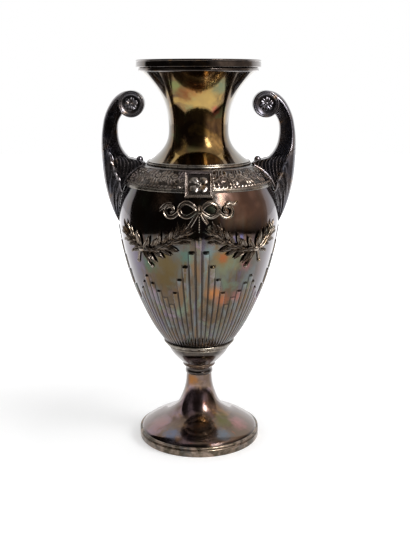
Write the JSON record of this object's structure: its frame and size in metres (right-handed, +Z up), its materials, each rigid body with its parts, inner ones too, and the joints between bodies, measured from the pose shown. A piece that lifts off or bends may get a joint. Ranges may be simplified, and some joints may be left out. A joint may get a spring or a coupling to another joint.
{
  "type": "two-handled vase",
  "caption": "Handled urn-shaped flower vase in tarnished plated metal: reeded bowl on a trumpet foot, friezed shoulder, flared neck, scroll handles, laurel festoons.",
  "frame": {"origin": "centre of the underside of the foot band, on the axis of the vase", "axes": "+Z up through the mouth, -Y out of the face seen in the picture, the handles stand out along -X and +X"},
  "size_m": [0.1792, 0.158, 0.36],
  "materials": {
    "blackened_plate": "silver plate blackened by tarnish, glossy",
    "tarnished_plate": "silver plate with brown and gold tarnish, semi-gloss",
    "olive_plate": "silver plate with olive and orange tarnish, semi-gloss",
    "grey_plate": "worn silver plate, grey, satin to bright",
    "bare_brass": "plain machined"
  },
  "bodies": {
    "root": {"foot_band": "olive_plate", "foot": "tarnished_plate", "stem_knop": "blackened_plate", "stem_flange": "tarnished_plate", "cup": "blackened_plate", "cup_bead": "grey_plate", "spring_band": "grey_plate", "bowl": "olive_plate", "fillet_wire": "grey_plate", "shoulder": "grey_plate", "neck_bead": "grey_plate", "neck": "tarnished_plate", "rim_wire": "blackened_plate", "rim": "blackened_plate", "centre_stud": "bare_brass", "stud_washer": "bare_brass", "stud_nut": "bare_brass", "handle_left": "blackened_plate", "handle_right": "blackened_plate", "handle_leaf_left": "blackened_plate", "handle_leaf_right": "blackened_plate", "handle_ball_left": "blackened_plate", "handle_ball_right": "blackened_plate", "volute_rosette_left_front": "blackened_plate", "volute_rosette_left_back": "blackened_plate", "volute_rosette_right_front": "blackened_plate", "volute_rosette_right_back": "blackened_plate", "plaque_front": "grey_plate", "plaque_back": "grey_plate", "plaque_flower_front": "grey_plate", "plaque_flower_back": "grey_plate", "bow_front": "blackened_plate", "bow_back": "blackened_plate", "festoon_front_left": "grey_plate", "festoon_front_right": "grey_plate", "festoon_back_left": "grey_plate", "festoon_back_right": "grey_plate"}
  },
  "joints": []
}
